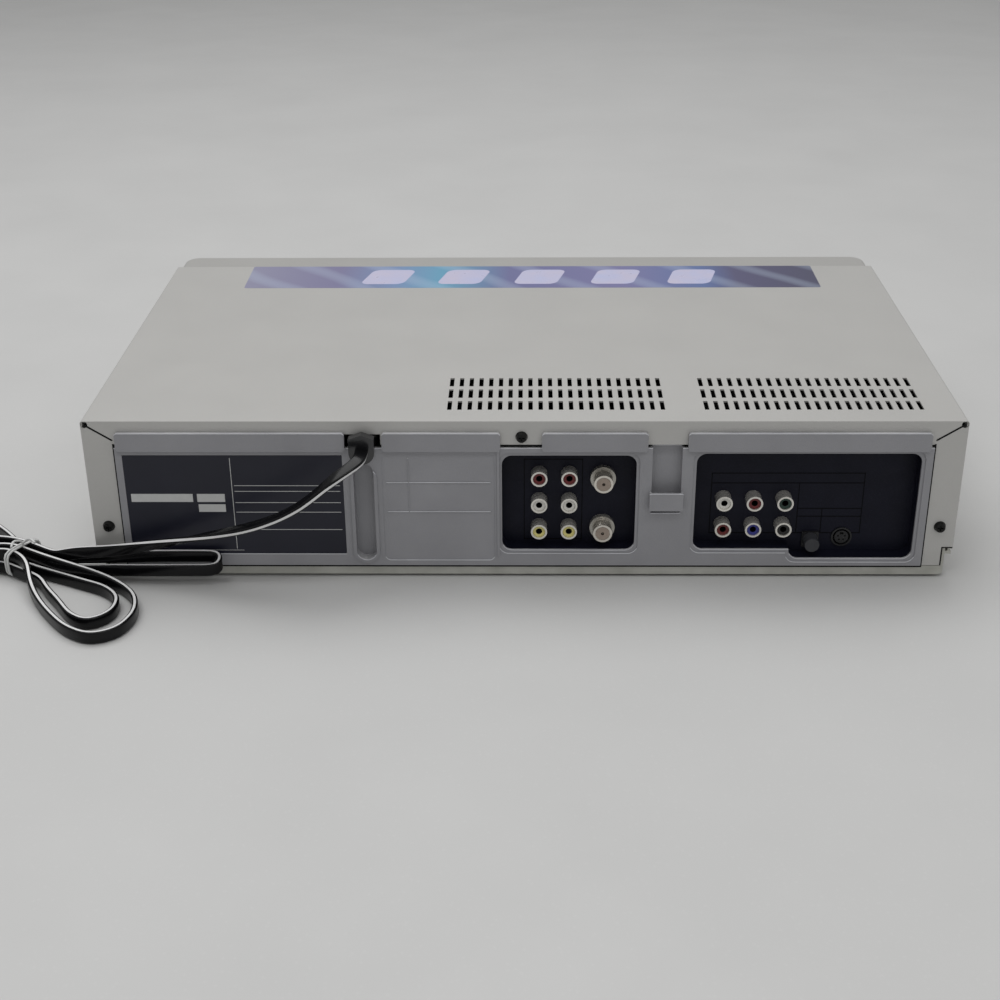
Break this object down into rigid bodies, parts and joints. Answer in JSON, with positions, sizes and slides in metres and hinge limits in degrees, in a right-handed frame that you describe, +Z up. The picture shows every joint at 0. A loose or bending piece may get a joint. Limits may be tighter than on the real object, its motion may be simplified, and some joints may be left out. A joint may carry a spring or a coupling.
{
  "type": "disc player and cassette recorder",
  "caption": "Flat full-width disc player and cassette recorder with sliding disc tray, cassette door and lift, rear jack recesses, vented cover and tied mains lead.",
  "frame": {"origin": "centre of the footprint of the case, on the floor under its feet", "axes": "+Z up, -Y out of the front panel, +Y out of the rear jacks, +X to the right seen from the front"},
  "size_m": [0.59, 0.341, 0.0855],
  "materials": {
    "cover_paint": "fine satin coat over steel, light warm silver",
    "tray_steel": "plain galvanised sheet",
    "foot_pad": "matt",
    "panel_moulding": "fine-grained bluish grey moulding",
    "plate_print": "dark foil, satin",
    "jack_plate": "near black, satin",
    "nickel": "bright nickel plate",
    "insert_red": "satin",
    "insert_white": "satin",
    "insert_yellow": "satin",
    "insert_dark": "satin, blue, green and black",
    "black_plastic": "satin",
    "screw_black": "blackened steel",
    "front_moulding": "painted moulding, satin silver",
    "window_tint": "polished smoked acrylic",
    "board": "solder resist over glass fibre, parts dark",
    "button_metal": "satin silver",
    "door_moulding": "satin silver",
    "deck_plastic": "filled black plastic",
    "gear_plastic": "acetal, off-white",
    "motor_steel": "plated can",
    "sled_metal": "cast",
    "rod_steel": "ground steel",
    "drum_metal": "finely turned",
    "roller_rubber": "matt",
    "cord_black": "glossy vinyl",
    "tie_wire": "white vinyl over wire"
  },
  "bodies": {
    "case": {"top_cover": "cover_paint", "chassis_tray": "tray_steel", "feet": "foot_pad", "rear_panel": "panel_moulding", "nameplate": "plate_print", "vcr_jack_plate": "jack_plate", "dvd_jack_plate": "jack_plate", "rca_jack_shells": "nickel", "rca_inserts_red": "insert_red", "rca_inserts_white": "insert_white", "rca_inserts_yellow": "insert_yellow", "rca_inserts_dark": "insert_dark", "rf_connectors": "nickel", "svideo_socket": "black_plastic", "optical_port": "black_plastic", "rear_screws": "screw_black", "front_panel": "front_moulding", "display_window": "window_tint", "front_board": "board", "loader_frame": "deck_plastic", "loading_motor": "motor_steel", "dvd_board": "board", "deck_chassis": "tray_steel", "lower_drum": "drum_metal", "main_board": "board", "power_board": "board", "cord_bush": "cord_black", "cord_lead": "cord_black", "cord_hank": "cord_black", "cord_tie": "tie_wire", "plug": "cord_black"},
    "tray": {"disc_tray": "deck_plastic", "tray_front": "front_moulding"},
    "tray_gear": {"tray_gear": "gear_plastic"},
    "pinion": {"motor_pinion": "gear_plastic"},
    "traverse": {"traverse_frame": "tray_steel", "spindle_motor": "motor_steel", "guide_rods": "rod_steel"},
    "turntable": {"turntable": "deck_plastic"},
    "clamp": {"disc_clamp": "deck_plastic"},
    "sled": {"pickup_sled": "sled_metal"},
    "sled_gear": {"sled_gear": "gear_plastic"},
    "dust_cap": {"optical_dust_cap": "black_plastic"},
    "door": {"cassette_door": "door_moulding"},
    "carriage": {"carriage_frame": "tray_steel"},
    "basket": {"cassette_basket": "tray_steel"},
    "drum": {"upper_drum": "drum_metal"},
    "capstan": {"capstan_flywheel": "rod_steel"},
    "pinch_arm": {"pinch_arm": "deck_plastic"},
    "pinch_roller": {"pinch_roller": "roller_rubber"},
    "supply_reel": {"supply_reel": "gear_plastic"},
    "takeup_reel": {"takeup_reel": "gear_plastic"},
    "rocker": {"wind_rocker": "button_metal"},
    "power_button": {"power_button": "button_metal"},
    "disc_eject_button": {"disc_eject_button": "button_metal"},
    "disc_play_button": {"disc_play_button": "button_metal"},
    "disc_stop_button": {"disc_stop_button": "button_metal"},
    "tape_eject_button": {"tape_eject_button": "button_metal"},
    "tape_play_button": {"tape_play_button": "button_metal"},
    "tape_stop_button": {"tape_stop_button": "button_metal"}
  },
  "joints": [
    {"name": "tray_slide", "type": "slide", "parent": "case", "child": "tray", "axis": [0, -1, 0], "range_m": [0, 0.14]},
    {"name": "tray_gear_spin", "type": "hinge", "parent": "case", "child": "tray_gear", "pos_m": [-0.178, -0.111, 0.0515], "axis": [0, 0, 1], "range_deg": [-670, 0]},
    {"name": "motor_pinion_spin", "type": "hinge", "parent": "case", "child": "pinion", "pos_m": [-0.178, -0.095, 0.0515], "axis": [0, 0, 1], "range_deg": [0, 2010]},
    {"name": "traverse_tilt", "type": "hinge", "parent": "case", "child": "traverse", "pos_m": [-0.125, 0.018, 0.0495], "axis": [1, 0, 0], "range_deg": [0, 4]},
    {"name": "turntable_spin", "type": "hinge", "parent": "traverse", "child": "turntable", "pos_m": [-0.125, -0.065, 0.0575], "axis": [0, 0, 1], "continuous": true},
    {"name": "clamp_spin", "type": "hinge", "parent": "case", "child": "clamp", "pos_m": [-0.125, -0.065, 0.0715], "axis": [0, 0, 1], "continuous": true},
    {"name": "sled_slide", "type": "slide", "parent": "traverse", "child": "sled", "axis": [0, 1, 0], "range_m": [0, 0.036]},
    {"name": "sled_gear_spin", "type": "hinge", "parent": "traverse", "child": "sled_gear", "pos_m": [-0.097, -0.025, 0.0535], "axis": [0, 0, 1], "range_deg": [-413, 0]},
    {"name": "cap_pull", "type": "slide", "parent": "case", "child": "dust_cap", "axis": [0, 1, 0], "range_m": [0, 0.014]},
    {"name": "door_swing", "type": "hinge", "parent": "case", "child": "door", "pos_m": [0.105, -0.131, 0.0758], "axis": [1, 0, 0], "range_deg": [0, 75]},
    {"name": "carriage_slide", "type": "slide", "parent": "case", "child": "carriage", "axis": [0, 1, 0], "range_m": [0, 0.035]},
    {"name": "basket_drop", "type": "slide", "parent": "carriage", "child": "basket", "axis": [0, 0, -1], "range_m": [0, 0.022]},
    {"name": "drum_spin", "type": "hinge", "parent": "case", "child": "drum", "pos_m": [0.105, 0.075, 0.0355], "axis": [0, -0.1028, 0.9947], "continuous": true},
    {"name": "capstan_spin", "type": "hinge", "parent": "case", "child": "capstan", "pos_m": [0.162, 0.052, 0.0135], "axis": [0, 0, 1], "continuous": true},
    {"name": "pinch_swing", "type": "hinge", "parent": "case", "child": "pinch_arm", "pos_m": [0.18, 0.074, 0.0315], "axis": [0, 0, 1], "range_deg": [-18, 0]},
    {"name": "pinch_roller_spin", "type": "hinge", "parent": "pinch_arm", "child": "pinch_roller", "pos_m": [0.17756, 0.05013, 0.0345], "axis": [0, 0, 1], "continuous": true},
    {"name": "supply_spin", "type": "hinge", "parent": "case", "child": "supply_reel", "pos_m": [0.059, -0.018, 0.0215], "axis": [0, 0, 1], "continuous": true},
    {"name": "takeup_spin", "type": "hinge", "parent": "case", "child": "takeup_reel", "pos_m": [0.151, -0.018, 0.0215], "axis": [0, 0, 1], "continuous": true},
    {"name": "rocker_tilt", "type": "hinge", "parent": "case", "child": "rocker", "pos_m": [0.084, -0.1315, 0.0185], "axis": [0, 0, 1], "range_deg": [-1.4, 1.4], "stiffness_Nm_per_rad": 0.6},
    {"name": "power_press", "type": "slide", "parent": "case", "child": "power_button", "axis": [0, 1, 0], "range_m": [0, 0.0008], "stiffness_N_per_m": 600, "springref_m": -0.0002},
    {"name": "disc_eject_press", "type": "slide", "parent": "case", "child": "disc_eject_button", "axis": [0, 1, 0], "range_m": [0, 0.0008], "stiffness_N_per_m": 600, "springref_m": -0.0002},
    {"name": "disc_play_press", "type": "slide", "parent": "case", "child": "disc_play_button", "axis": [0, 1, 0], "range_m": [0, 0.0008], "stiffness_N_per_m": 600, "springref_m": -0.0002},
    {"name": "disc_stop_press", "type": "slide", "parent": "case", "child": "disc_stop_button", "axis": [0, 1, 0], "range_m": [0, 0.0008], "stiffness_N_per_m": 600, "springref_m": -0.0002},
    {"name": "tape_eject_press", "type": "slide", "parent": "case", "child": "tape_eject_button", "axis": [0, 1, 0], "range_m": [0, 0.0008], "stiffness_N_per_m": 600, "springref_m": -0.0002},
    {"name": "tape_play_press", "type": "slide", "parent": "case", "child": "tape_play_button", "axis": [0, 1, 0], "range_m": [0, 0.0008], "stiffness_N_per_m": 600, "springref_m": -0.0002},
    {"name": "tape_stop_press", "type": "slide", "parent": "case", "child": "tape_stop_button", "axis": [0, 1, 0], "range_m": [0, 0.0008], "stiffness_N_per_m": 600, "springref_m": -0.0002}
  ],
  "couplings": [
    {"joint": "tray_gear_spin", "follows": "tray_slide", "rad_per_m": -83.333},
    {"joint": "motor_pinion_spin", "follows": "tray_slide", "rad_per_m": 250},
    {"joint": "clamp_spin", "follows": "turntable_spin", "ratio": 1},
    {"joint": "sled_gear_spin", "follows": "sled_slide", "rad_per_m": -200}
  ]
}
